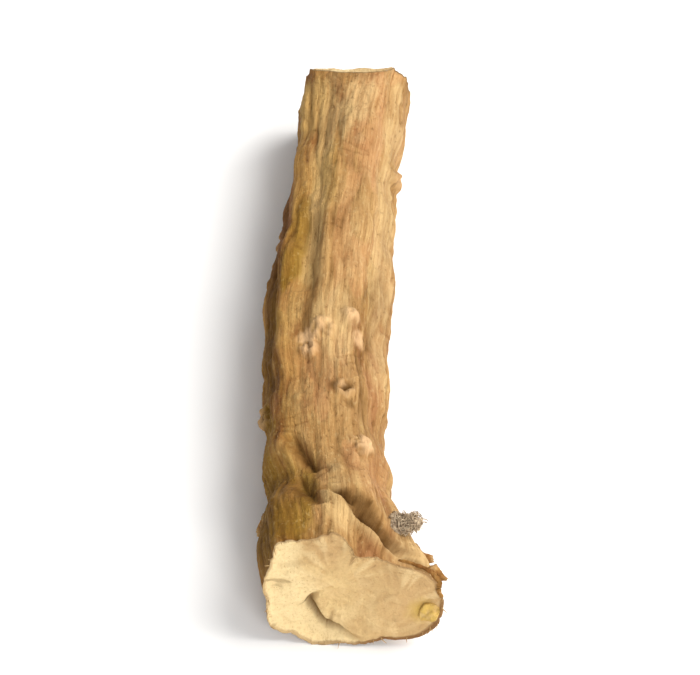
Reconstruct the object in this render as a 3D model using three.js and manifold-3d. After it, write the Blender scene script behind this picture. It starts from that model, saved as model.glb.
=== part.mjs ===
// One chopped, dried piece of long pepper root, in millimetres, +Z up.
// It lies on its side along Y. The knotted end, with its slanting pale cut, is at -Y and the
// plain chopped end is at +Y. The origin is under the middle of the piece, on the surface it rests on.

import * as THREE from "three";
import { mergeVertices } from "three/addons/utils/BufferGeometryUtils.js";
import Module from "manifold-3d";

// Driving dimensions
const LENGTH = 27.8;
const SHAFT_RADIUS = 2.3;
const SIDE_ROOT_RADIUS = 1.9;
const SIDE_ROOT_REACH = 2.4;
const SIDE_ROOT_TILT = -0.25;
const WEB_FILL = 0.75;

// How the axis drifts sideways, how thick the root is against the shaft, and the gap that the
// bark leaves above the surface. A gap below zero is where the piece touches and is worn flat.
const STATIONS = [
  { at: 0.0, side: -0.05, swell: 1.2, gap: -0.1 },
  { at: 0.075, side: -0.1, swell: 1.18, gap: -0.1 },
  { at: 0.165, side: -0.25, swell: 1.07, gap: 0.22 },
  { at: 0.3, side: -0.42, swell: 1.04, gap: 0.16 },
  { at: 0.48, side: -0.4, swell: 1.05, gap: -0.1 },
  { at: 0.63, side: -0.12, swell: 1.04, gap: 0.12 },
  { at: 0.74, side: 0.15, swell: 0.96, gap: 0.2 },
  { at: 0.89, side: 0.5, swell: 0.94, gap: 0.05 },
  { at: 1.0, side: 0.8, swell: 1.0, gap: -0.12 },
];

// The side root that leaves the knot on the right, from the cut back to where it sinks in
const SIDE_ROOT = [
  { at: 0.0, reach: 1.0, size: 1.0 },
  { at: 0.045, reach: 0.8, size: 0.94 },
  { at: 0.09, reach: 0.5, size: 0.83 },
  { at: 0.145, reach: 0.18, size: 0.66 },
  { at: 0.21, reach: 0.0, size: 0.5 },
  { at: 1.0, reach: 0.0, size: 0.3 },
];

// Slant of the two cuts: how far the cut face runs along Y for each millimetre across and up
const FRONT_SLANT = { across: -0.06, up: 0.2, reach: 0.34 };
const FAR_SLANT = { across: 0.1, up: -0.08, reach: 0.2 };

// Hollows and creases pressed into the bark as it dried: where they start and end along the
// root, the angle round it (0 is the right side, a quarter turn is the top), width and depth
const CREASES = [
  { from: 14.6, to: 18.9, angle: 2.0, lean: 0.012, width: 0.22, depth: 0.4 },
  { from: 4.3, to: 6.6, angle: 2.04, lean: 0.16, width: 0.13, depth: 0.42 },
  { from: 1.9, to: 4.2, angle: 1.96, lean: 0.2, width: 0.17, depth: 0.42 },
  { from: 0.4, to: 3.0, angle: 0.98, lean: 0.5, width: 0.17, depth: 0.6 },
  { from: -2.2, to: 2.2, angle: 1.05, lean: 0.1, width: 0.3, depth: 0.75 },
  { from: 4.2, to: 9.0, angle: 0.05, lean: 0.0, width: 0.5, depth: 0.26 },
  { from: 9.5, to: 26.5, angle: 2.75, lean: 0.02, width: 0.17, depth: 0.26 },
  { from: 11.0, to: 24.0, angle: 0.3, lean: -0.012, width: 0.16, depth: 0.14 },
  { from: 5.0, to: 20.0, angle: 3.55, lean: 0.02, width: 0.22, depth: 0.3 },
  { from: 2.0, to: 15.0, angle: -0.75, lean: 0.02, width: 0.2, depth: 0.32 },
  { from: 13.0, to: 27.0, angle: -2.2, lean: -0.015, width: 0.2, depth: 0.28 },
];

// Round scars where fine rootlets snapped off: low mounds, some with a pit in the middle
const SCARS = [
  { along: 12.3, angle: 1.62, size: 0.5, rise: 0.2, pit: 0.4 },
  { along: 11.3, angle: 1.84, size: 0.42, rise: 0.16, pit: 1.2 },
  { along: 13.1, angle: 1.14, size: 0.4, rise: 0.15, pit: 0.3 },
  { along: 9.0, angle: 1.22, size: 0.45, rise: 0.17, pit: 1.3 },
  { along: 5.9, angle: 0.95, size: 0.5, rise: 0.2, pit: 0.2 },
  { along: 22.6, angle: 0.1, size: 0.6, rise: 0.24, pit: 0.6 },
  { along: 19.2, angle: 3.3, size: 0.62, rise: 0.24, pit: 1.1 },
  { along: 9.0, angle: 3.0, size: 0.55, rise: 0.22, pit: 0.3 },
  { along: 6.5, angle: -2.2, size: 0.6, rise: 0.22, pit: 0.9 },
  { along: 17.5, angle: -0.8, size: 0.58, rise: 0.22, pit: 0.5 },
];

// Where the knot bulges by the cut: along, angle round the root, spread of both, and height
const BULGES = [
  { along: 0.3, angle: 2.25, length: 2.6, width: 0.42, height: 0.33 },
  { along: 4.2, angle: 1.3, length: 1.4, width: 0.3, height: 0.12 },
];

// Broken rootlets left on the knot: place, direction (angle round the root and lean towards
// the cut), length and thickness at the foot. The inset one is a lump on the cut wood itself,
// by its edge, as a share of the radius.
const ROOTLETS = [
  { along: 2.3, angle: 0.46, lean: 0.1, length: 0.85, foot: 0.32 },
  { along: 0.35, angle: 0.18, lean: 0.75, length: 0.6, foot: 0.2 },
  { along: 0, inset: 0.11, angle: -0.23, lean: 2.0, length: 0.4, foot: 0.32 },
  { along: 2.2, angle: -0.1, lean: -0.1, length: 0.6, foot: 0.34 },
  { along: 3.4, angle: 3.25, lean: 0.1, length: 0.35, foot: 0.36 },
  { along: 5.2, angle: -0.6, lean: -0.3, length: 0.55, foot: 0.34 },
];

// The split in the pale wood of the knotted end, as a share of the radius that grows with the
// angle, and the chip off the far end
const SPLIT = { share: 0.58, growth: 0.4, width: 0.07, depth: 0.5, middle: -2.0, spread: 0.75 };
const CHIP = { angle: 1.75, slope: 0.9, depth: 0.6 };

// The flap of bark that hangs over the knotted end's cut: its angle, width, how far it hangs
// over, and where along the root it starts to stretch
const FLAP = { angle: 1.15, width: 0.22, reach: 0.35, root: 0.04 };

// How much the join between the stem and the side root is rounded, how deep a rootlet's foot is
// sunk in the bark, and how close two points are before they count as one
const JOIN_ROUNDING = 0.16;
const FOOT_SUNK = 0.8;
const SAME_POINT = 1e-4;

// Mesh density. The rings along the side stand closer by the knot than by the far end.
const SEGMENTS = 48;
const SIDE_RINGS = 98;
const RING_CROWDING = 0.13;
const FRONT_RINGS = [0.16, 0.3, 0.38, 0.45, 0.51, 0.57, 0.63, 0.69, 0.76, 0.84, 0.92, 0.98];
const FAR_RINGS = [0.95, 0.85, 0.7, 0.5, 0.25];
const STUB_SIDES = 7;
const STUB_RINGS = 5;

const bell = (value) => Math.exp(-value * value);

// Shortest turn from one angle to another
const turn = (from, to) => Math.atan2(Math.sin(to - from), Math.cos(to - from));

// A smooth curve through one named value of a list of stations
function through(stations, name, at) {
  const last = stations.length - 1;
  let i = 0;
  while (i < last - 1 && at > stations[i + 1].at) i++;
  const slope = (k) => {
    const a = stations[Math.max(k - 1, 0)];
    const b = stations[Math.min(k + 1, last)];
    return (b[name] - a[name]) / (b.at - a.at);
  };
  const [a, b] = [stations[i], stations[i + 1]];
  const span = b.at - a.at;
  const t = THREE.MathUtils.clamp((at - a.at) / span, 0, 1);
  const early = (1 + 2 * t) * (1 - t) ** 2 * a[name] + t * (1 - t) ** 2 * span * slope(i);
  const late = t * t * (3 - 2 * t) * b[name] + t * t * (t - 1) * span * slope(i + 1);
  return early + late;
}

// The larger of two radii, with the join between them rounded a little
const joined = (a, b) => (a + b + Math.hypot(a - b, JOIN_ROUNDING)) / 2;

// Where a ray from the root's axis leaves the side root, or zero if it misses
function sideRootRadius(away, radius, angle) {
  const toward = away * Math.cos(angle - SIDE_ROOT_TILT);
  const inside = toward * toward - away * away + radius * radius;
  return inside > 0 ? Math.max(toward + Math.sqrt(inside), 0) : 0;
}

// The web of wood under the fork: it spans straight from the stem's underside to the side root's
function webRadius(stem, away, radius, angle) {
  const drop = stem - radius;
  if (away <= Math.abs(drop)) return 0;
  const off = turn(SIDE_ROOT_TILT - Math.acos(drop / away), angle);
  const last = Math.atan2(Math.sqrt(away * away - drop * drop), stem);
  return off > 0 && off < last ? stem / Math.cos(off) : 0;
}

// Shrinkage of the drying bark: long shallow ribs that wander round the root
function ribs(y, angle) {
  const drift = 0.35 * Math.sin(0.21 * y + 0.4) + 0.02 * y;
  const broad = 0.11 * Math.sin(2 * angle + 0.9 + 0.12 * y);
  const middle = 0.085 * Math.sin(5 * angle + 1.3 + drift) * (1 + 0.4 * Math.sin(0.5 * y + angle));
  const narrow = 0.065 * Math.sin(9 * angle - 0.6 - 1.6 * drift) * (1 + 0.5 * Math.sin(0.37 * y + 2));
  const lumps = 0.06 * Math.sin(1.3 * y + 2 * angle) + 0.045 * Math.sin(2.3 * y - 3 * angle + 1);
  return broad + middle + narrow + lumps;
}

function creases(y, angle) {
  let cut = 0;
  for (const c of CREASES) {
    const middle = (c.from + c.to) / 2;
    const half = (c.to - c.from) / 2;
    const along = Math.max(0, 1 - ((y - middle) / half) ** 2);
    const off = turn(c.angle + c.lean * (y - middle), angle);
    cut += c.depth * Math.sqrt(along) * bell(off / c.width);
  }
  return cut;
}

function scars(y, angle, radius) {
  let height = 0;
  for (const s of SCARS) {
    const away = Math.hypot(y - s.along, radius * turn(s.angle, angle)) / s.size;
    height += s.rise * (bell(away * away) - s.pit * bell(away / 0.45));
  }
  return height;
}

function bulges(y, angle) {
  let height = 0;
  for (const b of BULGES) {
    height += b.height * bell((y - b.along) / b.length) * bell(turn(b.angle, angle) / b.width);
  }
  return height;
}

// The knot's rings: a collar by the cut and the narrow waist behind it
function knotRings(y, angle) {
  const collar = 0.14 * bell((y - 2.5) / 0.9) * (1 + 0.6 * Math.cos(angle - 1.2));
  const waist = 0.18 * bell((y - 4.6) / 0.6) * (0.7 + 0.3 * Math.cos(angle - 2.3));
  const second = 0.08 * bell((y - 6.0) / 0.7) * (1 + 0.6 * Math.sin(2 * angle + 2));
  return collar - waist + second;
}

const centre = (at) => {
  const radius = SHAFT_RADIUS * through(STATIONS, "swell", at);
  return new THREE.Vector2(through(STATIONS, "side", at), radius + through(STATIONS, "gap", at));
};

function barkRadius(at, angle) {
  const y = at * LENGTH;
  const stem = SHAFT_RADIUS * through(STATIONS, "swell", at);
  const away = SIDE_ROOT_REACH * through(SIDE_ROOT, "reach", at);
  const radius = SIDE_ROOT_RADIUS * through(SIDE_ROOT, "size", at);
  const fork = joined(stem, sideRootRadius(away, radius, angle));
  const plain = fork + WEB_FILL * Math.max(0, webRadius(stem, away, radius, angle) - fork);
  const raised = ribs(y, angle) + knotRings(y, angle) + bulges(y, angle) + scars(y, angle, plain);
  return plain + raised - creases(y, angle);
}

// How far the pale wood of the knotted end stands behind its cutting plane: the split, the
// crescent that sank outside it, the steps of the cut and a slight hollow
function frontRelief(share, angle, radius) {
  const swing = turn(SPLIT.middle, angle);
  const outside = share - SPLIT.share - SPLIT.growth * swing;
  const split = SPLIT.depth * bell(outside / SPLIT.width) * bell((swing / SPLIT.spread) ** 2);
  const crescent = 0.25 * bell(swing / 1.1) * THREE.MathUtils.smoothstep(outside, -0.04, 0.1);
  const steps = 0.08 * Math.sin(1.9 * share * radius * Math.cos(angle + 0.6) + 0.5);
  const notches = 0.05 * Math.sin(7 * angle) * share;
  const dish = 0.12 * (1 - share * share);
  return (split + crescent + steps + notches + dish) * THREE.MathUtils.smoothstep(1 - share, 0, 0.12);
}

function flapReach(at, share, angle) {
  const outside = THREE.MathUtils.smoothstep(share, 0.8, 1) * Math.max(0, 1 - at / FLAP.root);
  return FLAP.reach * outside * bell(turn(FLAP.angle, angle) / FLAP.width);
}

function farRelief(share, angle) {
  const dish = 0.25 * (1 - share * share) + 0.07 * Math.sin(3 * angle + 4 * share);
  return dish * THREE.MathUtils.smoothstep(1 - share, 0, 0.15);
}

// Moves a point of the blank, given as its share of the length, its share of the radius and
// its angle, to its place on the root
function place(at, share, angle) {
  const middle = centre(at);
  const radius = barkRadius(at, angle);
  const across = share * radius * Math.cos(angle);
  const up = share * radius * Math.sin(angle);
  const front = Math.max(0, 1 - at / FRONT_SLANT.reach) ** 2;
  const far = Math.max(0, 1 - (1 - at) / FAR_SLANT.reach) ** 2;
  let y = at * LENGTH;
  y += front * (FRONT_SLANT.across * across + FRONT_SLANT.up * up);
  y += far * (FAR_SLANT.across * across + FAR_SLANT.up * up);
  y -= flapReach(at, share, angle);
  if (at === 0) y += frontRelief(share, angle, radius);
  if (at === 1) y -= farRelief(share, angle);
  return new THREE.Vector3(middle.x + across, y, middle.y + up);
}

// A blank turned on a lathe: unit radius and unit height, with the rings that the form needs
function blank() {
  const profile = [new THREE.Vector2(0, 0)];
  for (const share of FRONT_RINGS) profile.push(new THREE.Vector2(share, 0));
  for (let i = 0; i <= SIDE_RINGS; i++) {
    const even = i / SIDE_RINGS;
    const crowded = RING_CROWDING * Math.sin(Math.PI * even) * (1 - even);
    profile.push(new THREE.Vector2(1, even - crowded));
  }
  for (const share of FAR_RINGS) profile.push(new THREE.Vector2(share, 1));
  profile.push(new THREE.Vector2(0, 1));
  return new THREE.LatheGeometry(profile, SEGMENTS);
}

function rootBody() {
  const geometry = blank();
  const position = geometry.attributes.position;
  const point = new THREE.Vector3();
  for (let i = 0; i < position.count; i++) {
    point.fromBufferAttribute(position, i);
    const share = Math.hypot(point.x, point.z);
    const angle = share > 0 ? Math.atan2(point.z, point.x) : 0;
    const moved = place(point.y, share, angle);
    position.setXYZ(i, moved.x, moved.y, moved.z);
  }
  return geometry;
}

// A rootlet snapped off short: a bent, tapering stub with a flared foot sunk well into the bark
function rootletStub({ along, inset = 0, angle, lean, length, foot }) {
  const surface = place(along / LENGTH, 1 - inset, angle);
  const outward = new THREE.Vector3(Math.cos(angle), -lean, Math.sin(angle)).normalize();
  const tip = foot * 0.45;
  const whole = length + FOOT_SUNK;
  const stub = new THREE.CylinderGeometry(tip, foot, whole, STUB_SIDES, STUB_RINGS);
  stub.translate(0, whole / 2 - FOOT_SUNK, 0);
  const position = stub.attributes.position;
  for (let i = 0; i < position.count; i++) {
    const height = position.getY(i);
    const flare = 1 + 0.7 * bell(height / 0.28);
    const bend = 0.3 * Math.max(0, height) ** 2;
    const torn = height > length * 0.9 ? 0.5 * position.getX(i) : 0;
    position.setXYZ(i, position.getX(i) * flare + bend, height + torn, position.getZ(i) * flare);
  }
  stub.applyQuaternion(new THREE.Quaternion().setFromUnitVectors(new THREE.Vector3(0, 1, 0), outward));
  return stub.translate(surface.x, surface.y, surface.z);
}

// A block whose lower side lies on the plane that the chip left on the far end
function chipBlock() {
  const rim = place(1, 1, CHIP.angle);
  const normal = new THREE.Vector3(0, Math.cos(CHIP.slope), Math.sin(CHIP.slope));
  const size = 4 * SHAFT_RADIUS;
  const block = new THREE.BoxGeometry(size, size, size);
  block.translate(0, size / 2, 0);
  block.applyQuaternion(new THREE.Quaternion().setFromUnitVectors(new THREE.Vector3(0, 1, 0), normal));
  const start = rim.addScaledVector(normal, -CHIP.depth);
  return block.translate(start.x, start.y, start.z);
}

// The block under the surface that the piece rests on
function floorBlock() {
  const size = 3 * LENGTH;
  return new THREE.BoxGeometry(size, size, size).translate(0, LENGTH / 2, -size / 2);
}

const wasm = await Module();
wasm.setup();

function solid(geometry) {
  const bare = new THREE.BufferGeometry();
  bare.setAttribute("position", geometry.attributes.position.clone());
  bare.setIndex(geometry.index);
  const merged = mergeVertices(bare, SAME_POINT);
  return new wasm.Manifold(
    new wasm.Mesh({
      numProp: 3,
      vertProperties: merged.attributes.position.array,
      triVerts: new Uint32Array(merged.index.array),
    }),
  );
}

function geometryOf(manifold) {
  const mesh = manifold.getMesh();
  const geometry = new THREE.BufferGeometry();
  geometry.setAttribute("position", new THREE.BufferAttribute(mesh.vertProperties, 3));
  geometry.setIndex(new THREE.BufferAttribute(mesh.triVerts, 1));
  geometry.computeVertexNormals();
  return geometry;
}

// Joins the rootlets on, cuts the chip and the worn spots, and centres the piece over the origin
function rootPiece() {
  let root = solid(rootBody());
  for (const rootlet of ROOTLETS) root = root.add(solid(rootletStub(rootlet)));
  root = root.subtract(solid(chipBlock())).subtract(solid(floorBlock()));
  const geometry = geometryOf(root);
  geometry.computeBoundingBox();
  const { min, max } = geometry.boundingBox;
  geometry.translate(-(min.x + max.x) / 2, -(min.y + max.y) / 2, -min.z);
  const bark = new THREE.MeshStandardMaterial({ color: 0xb48b57, roughness: 0.85, metalness: 0 });
  const mesh = new THREE.Mesh(geometry, bark);
  mesh.name = "root_piece";
  return mesh;
}

const longPepperRoot = new THREE.Group();
longPepperRoot.add(rootPiece());

export default longPepperRoot;
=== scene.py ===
# Visual model of one dried, chopped piece of long pepper root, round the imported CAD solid.
# The form follows the part's own tables and formulas, in millimetres along the root's axis and
# in radians round it, where 0 is the right side and a quarter turn is the top. The finer
# relief, the fibres, the hairs and the colours are added here.

from itertools import product

import bpy
import numpy as np
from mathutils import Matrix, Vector


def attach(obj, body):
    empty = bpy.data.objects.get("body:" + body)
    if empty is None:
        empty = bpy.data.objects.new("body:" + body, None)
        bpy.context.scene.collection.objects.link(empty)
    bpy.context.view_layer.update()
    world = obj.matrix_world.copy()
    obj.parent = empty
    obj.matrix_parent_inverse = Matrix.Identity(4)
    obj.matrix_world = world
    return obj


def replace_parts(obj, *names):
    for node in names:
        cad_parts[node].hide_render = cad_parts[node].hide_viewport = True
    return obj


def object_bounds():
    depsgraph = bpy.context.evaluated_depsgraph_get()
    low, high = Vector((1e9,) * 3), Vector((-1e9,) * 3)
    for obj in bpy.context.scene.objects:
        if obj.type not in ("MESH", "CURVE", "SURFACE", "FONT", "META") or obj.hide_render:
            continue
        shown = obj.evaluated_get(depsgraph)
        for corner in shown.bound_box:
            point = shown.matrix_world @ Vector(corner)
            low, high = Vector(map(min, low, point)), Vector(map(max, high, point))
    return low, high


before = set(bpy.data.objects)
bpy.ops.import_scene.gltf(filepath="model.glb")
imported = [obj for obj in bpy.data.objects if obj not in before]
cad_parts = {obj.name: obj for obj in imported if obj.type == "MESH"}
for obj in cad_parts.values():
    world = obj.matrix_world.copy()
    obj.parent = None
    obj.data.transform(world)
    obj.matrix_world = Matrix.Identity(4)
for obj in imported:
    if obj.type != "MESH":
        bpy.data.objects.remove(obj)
CAD_LOW, CAD_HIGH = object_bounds()
MM = 0.001

# Driving dimensions, as in the part
LENGTH = 27.8
SHAFT_RADIUS = 2.3
SIDE_ROOT_RADIUS = 1.9
SIDE_ROOT_REACH = 2.4
SIDE_ROOT_TILT = -0.25
WEB_FILL = 0.75
JOIN_ROUNDING = 0.16

# Along the root, as a share of its length: how the axis drifts sideways, how thick the root is
# against the shaft, and the gap under it, which is below zero where it is worn flat
STATIONS = {
    "at": [0.0, 0.075, 0.165, 0.3, 0.48, 0.63, 0.74, 0.89, 1.0],
    "side": [-0.05, -0.1, -0.25, -0.42, -0.4, -0.12, 0.15, 0.5, 0.8],
    "swell": [1.2, 1.18, 1.07, 1.04, 1.05, 1.04, 0.96, 0.94, 1.0],
    "gap": [-0.1, -0.1, 0.22, 0.16, -0.1, 0.12, 0.2, 0.05, -0.12],
}

# The side root on the right of the knot, from the cut back to where it sinks in
SIDE_ROOT = {
    "at": [0.0, 0.045, 0.09, 0.145, 0.21, 1.0],
    "reach": [1.0, 0.8, 0.5, 0.18, 0.0, 0.0],
    "size": [1.0, 0.94, 0.83, 0.66, 0.5, 0.3],
}

# Slant of the two cuts: how far each runs along the root for a millimetre across and up, and
# over what share of the length that fades
FRONT_SLANT = {"across": -0.06, "up": 0.2, "reach": 0.34}
FAR_SLANT = {"across": 0.1, "up": -0.08, "reach": 0.2}

# The split in the wood of the knotted cut, the chip off the far end, and the flap of bark that
# hangs over the knotted cut
SPLIT = {"share": 0.58, "growth": 0.4, "width": 0.07, "depth": 0.5, "middle": -2.0, "spread": 0.75}
CHIP = {"angle": 1.75, "slope": 0.9, "depth": 0.6, "reach": 0.12}
FLAP = {"angle": 1.15, "width": 0.22, "reach": 0.35, "root": 0.04}

# Hollows and creases: from and to along the root, angle round it, lean, width, depth, the lip
# that stands up beside one edge, and how much painted shade darkens it inside. The fifth, with
# no depth, is only painted shade along the dark side of the fourth.
CREASES = [
    (14.6, 18.9, 2.0, 0.012, 0.22, 0.4, 0.0, 0.0),
    (4.3, 6.6, 2.04, 0.16, 0.13, 0.42, 0.08, 0.8),
    (1.9, 4.2, 1.96, 0.2, 0.17, 0.42, 0.06, 0.8),
    (0.4, 3.0, 0.98, 0.5, 0.17, 0.6, 0.14, 0.25),
    (0.8, 2.9, 0.87, 0.5, 0.2, 0.0, 0.0, 1.25),
    (-2.2, 2.2, 1.05, 0.1, 0.3, 0.75, 0.0, 0.0),
    (4.2, 9.0, 0.05, 0.0, 0.5, 0.26, 0.0, 0.0),
    (9.5, 26.5, 2.75, 0.02, 0.17, 0.26, 0.0, 0.7),
    (11.0, 24.0, 0.3, -0.012, 0.16, 0.14, 0.0, 0.3),
    (5.0, 20.0, 3.55, 0.02, 0.22, 0.3, 0.0, 0.7),
    (2.0, 15.0, -0.75, 0.02, 0.2, 0.32, 0.0, 0.7),
    (13.0, 27.0, -2.2, -0.015, 0.2, 0.28, 0.0, 0.7),
]

# Scars of snapped rootlets: along, angle, size, rise, pit, and how pale the break is. Those
# with no rise are only pale.
SCARS = [
    (12.3, 1.62, 0.5, 0.2, 0.4, 0.6),
    (12.0, 1.9, 0.42, 0.0, 0.0, 1.0),
    (12.1, 0.94, 0.4, 0.0, 0.0, 0.8),
    (11.3, 1.84, 0.42, 0.16, 1.2, 0.8),
    (13.1, 1.14, 0.4, 0.15, 0.3, 0.8),
    (9.0, 1.22, 0.45, 0.17, 1.3, 0.5),
    (5.9, 0.95, 0.5, 0.2, 0.2, 0.9),
    (22.6, 0.1, 0.6, 0.24, 0.6, 0.4),
    (19.2, 3.3, 0.62, 0.24, 1.1, 0.5),
    (9.0, 3.0, 0.55, 0.22, 0.3, 0.6),
    (6.5, -2.2, 0.6, 0.22, 0.9, 0.4),
    (17.5, -0.8, 0.58, 0.22, 0.5, 0.5),
]

# Bulges of the knot: along, angle, length, width, height
BULGES = [
    (0.3, 2.25, 2.6, 0.42, 0.33),
    (4.2, 1.3, 1.4, 0.3, 0.12),
]

# Broken rootlets: along, inset from the rim as a share of the radius, angle, lean towards the
# cut, length and thickness at the foot
ROOTLETS = {
    "withered": (2.3, 0.0, 0.46, 0.1, 0.85, 0.32),
    "splinter": (0.35, 0.0, 0.18, 0.75, 0.6, 0.2),
    "ochre_lump": (0.0, 0.11, -0.23, 2.0, 0.4, 0.32),
    "fork": (2.2, 0.0, -0.1, -0.1, 0.6, 0.34),
    "left": (3.4, 0.0, 3.25, 0.1, 0.35, 0.36),
    "under": (5.2, 0.0, -0.6, -0.3, 0.55, 0.34),
}

# How dark, how yellow and how reddish the rootlets are, and how blunt they are against torn
ROOTLET_LOOKS = {
    "splinter": {"dark": 0.55, "yellow": 0.0, "red": 1.0, "blunt": 0.0},
    "ochre_lump": {"dark": 0.35, "yellow": 1.0, "red": 0.0, "blunt": 0.7},
    "fork": {"dark": 0.4, "yellow": 0.2, "red": 0.2, "blunt": 0.0},
    "left": {"dark": 0.3, "yellow": 0.2, "red": 0.3, "blunt": 0.0},
    "under": {"dark": 0.35, "yellow": 0.2, "red": 0.2, "blunt": 0.0},
}

# Torn fibres along the rim of the knotted cut: angle, spread in radians, count, greatest length
RIM_FIBRES = [
    (1.15, 0.3, 14, 0.35),
    (0.6, 0.3, 12, 0.3),
    (0.05, 0.25, 10, 0.3),
    (2.1, 0.35, 10, 0.25),
    (-0.6, 0.3, 9, 0.3),
    (3.1, 0.4, 8, 0.25),
]

# Patches of colour on the bark: along, angle, half length, half width in radians, strength
# Olive patches: olive bark, and in part painted shade on the left flank
OLIVE_PATCHES = [
    (18.2, 2.2, 2.3, 0.16, 0.9),
    (16.2, 2.35, 1.2, 0.2, 0.7),
    (1.2, 2.3, 1.5, 0.5, 1.0),
    (4.5, 2.85, 4.5, 0.55, 1.0),
    (3.4, 1.98, 1.5, 0.25, 0.9),
    (20.5, 1.75, 2.5, 0.16, 0.45),
    (12.5, 2.75, 5.0, 0.4, 0.8),
    (14.0, 0.75, 3.5, 0.2, 0.3),
    (9.0, -1.4, 5.0, 0.7, 0.6),
    (22.0, 4.0, 4.0, 0.6, 0.6),
]
BLUSH_PATCHES = [
    (22.8, 0.97, 2.2, 0.32, 0.9),
    (10.5, 1.7, 2.4, 0.5, 0.6),
    (26.3, 1.3, 1.4, 0.5, 0.8),
    (4.2, 1.0, 1.5, 0.3, 0.5),
    (13.0, 3.5, 4.0, 0.5, 0.7),
    (6.0, -0.6, 3.0, 0.5, 0.6),
]
# Lighter patches: partly lighter rubbed bark, partly painted highlight along ridges and painted light
# in hollows
LIGHT_PATCHES = [
    (22.0, 2.0, 5.0, 0.15, 0.9),
    (20.5, 1.85, 5.0, 0.12, 1.0),
    (24.5, 1.6, 1.6, 0.12, 0.8),
    (3.0, 1.5, 1.6, 0.15, 0.5),
    (12.5, 1.4, 3.0, 0.35, 0.6),
    (25.6, 1.5, 1.8, 0.4, 0.8),
    (25.4, 2.25, 2.0, 0.35, 0.8),
    (18.5, 0.45, 7.5, 0.35, 0.9),
    (1.8, 1.5, 1.3, 0.3, 0.7),
    (0.8, 0.4, 0.8, 0.25, 0.8),
    (17.0, 1.98, 2.0, 0.2, 0.8),
]
# Darker patches: painted shade by the rim of the knotted cut, beside scars and on the knot
DARK_PATCHES = [
    (0.25, 0.33, 0.45, 0.08, 0.5),
    (9.07, 1.42, 0.35, 0.09, 0.8),
    (8.14, 1.13, 0.35, 0.07, 0.6),
    (3.8, 1.35, 1.2, 0.4, 0.1),
    (6.8, 0.7, 2.8, 0.4, 0.28),
    (2.0, 2.75, 3.0, 0.45, 0.38),
]

# Painted shade on the left side of the bark, which is made darker and redder
SHADED_LEFT_SIDE = {"angle": 3.1, "width": 0.95}

# Furrows of the bark: the size of their grain across and along the root in millimetres, a
# seed, their depth, and how dark they are
FURROWS = {
    "broad": {"across": 0.85, "along": 6.5, "seed": 11, "depth": 0.11, "shade": 0.75},
    "fine": {"across": 0.42, "along": 3.6, "seed": 23, "depth": 0.07, "shade": 0.45},
    "thin": {"across": 0.24, "along": 2.4, "seed": 29, "depth": 0.035, "shade": 0.2},
}
FURROW_WIDTH = 0.3
GRIT_HEIGHT = 0.02
# The most painted shade a crease takes
DARKEST_CREASE = 0.95

# Mesh density. The rings stand closer by the knot and by the rims of the cuts.
AROUND = 216
SIDE_RINGS = 372
FRONT_RINGS = 56
FAR_RINGS = 26
RING_CROWDING = 0.13
RIM_CROWDING = 0.25
STUB_RINGS = 28
STUB_SIDES = 22
SLIVER_RINGS = 60
SLIVER_SIDES = 16
FIBRE_RINGS = 10
HAIR_RINGS = 12
HAIR_SIDES = 5

# Least and greatest radius of the fibres and hairs, and how many hairs the tuft has
FIBRE_RADII = (0.014, 0.032)
HAIR_RADII = (0.014, 0.03)
TUFT_HAIRS = 320

# Points round the far rim, and the millimetres of the CAD solid's far end, that place the root
RIM_SAMPLES = 720
END_BAND = 1.0

# The masks that the material of the root reads from its meshes
MASKS = ("cut", "furrow", "pale", "tan", "ochre", "proud", "rim", "red")

# How far the broken edges of the cuts reach along the root, as a share of its length
RIM_WEAR_REACH = 0.03

# Small warts all over the bark: least and greatest along, angle, size and rise
WART_COUNT = 90
WART_LEAST = (0.4, 0, 0.1, 0.03)
WART_GREATEST = (27.4, 2 * np.pi, 0.24, 0.1)

SEED = 26
random = np.random.default_rng(SEED)
SHUFFLED = random.permutation(256)
GRADIENTS = random.normal(size=(256, 3))
GRADIENTS /= np.linalg.norm(GRADIENTS, axis=1, keepdims=True)
NOISE_GAIN = 1.6
WARTS = random.uniform(WART_LEAST, WART_GREATEST, (WART_COUNT, 4))


def noise(x, y, z):
    """Smooth gradient noise, about -1 to 1."""
    x, y, z = np.broadcast_arrays(x, y, z)
    cells = [np.floor(v).astype(int) for v in (x, y, z)]
    parts = [v - cell for v, cell in zip((x, y, z), cells)]
    fades = [p**3 * (p * (6 * p - 15) + 10) for p in parts]
    total = np.zeros(x.shape)
    for corner in product((0, 1), repeat=3):
        index = np.zeros(x.shape, int)
        weight = np.ones(x.shape)
        for cell, fade, side in zip(cells, fades, corner):
            index = SHUFFLED[(index + cell + side) % 256]
            weight = weight * (fade if side else 1 - fade)
        total += weight * sum(GRADIENTS[index, n] * (parts[n] - corner[n]) for n in range(3))
    return NOISE_GAIN * total


def bark_noise(y, angle, across, along, seed):
    """Noise wrapped round the root, with grains of the given size in millimetres."""
    reach = SHAFT_RADIUS / across
    return noise(reach * np.cos(angle) + seed, reach * np.sin(angle), y / along + 0.37 * seed)


def bell(value):
    """1 at zero, falling smoothly to nothing at about 2 on either side."""
    return np.exp(-value * value)


def smoothstep(value, low, high):
    """Smooth step from 0 at low to 1 at high, where high may also be the lower one."""
    t = np.clip((value - low) / (high - low), 0, 1)
    return t * t * (3 - 2 * t)


def turn(start, end):
    """Shortest turn from one angle to another."""
    return np.arctan2(np.sin(end - start), np.cos(end - start))


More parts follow.
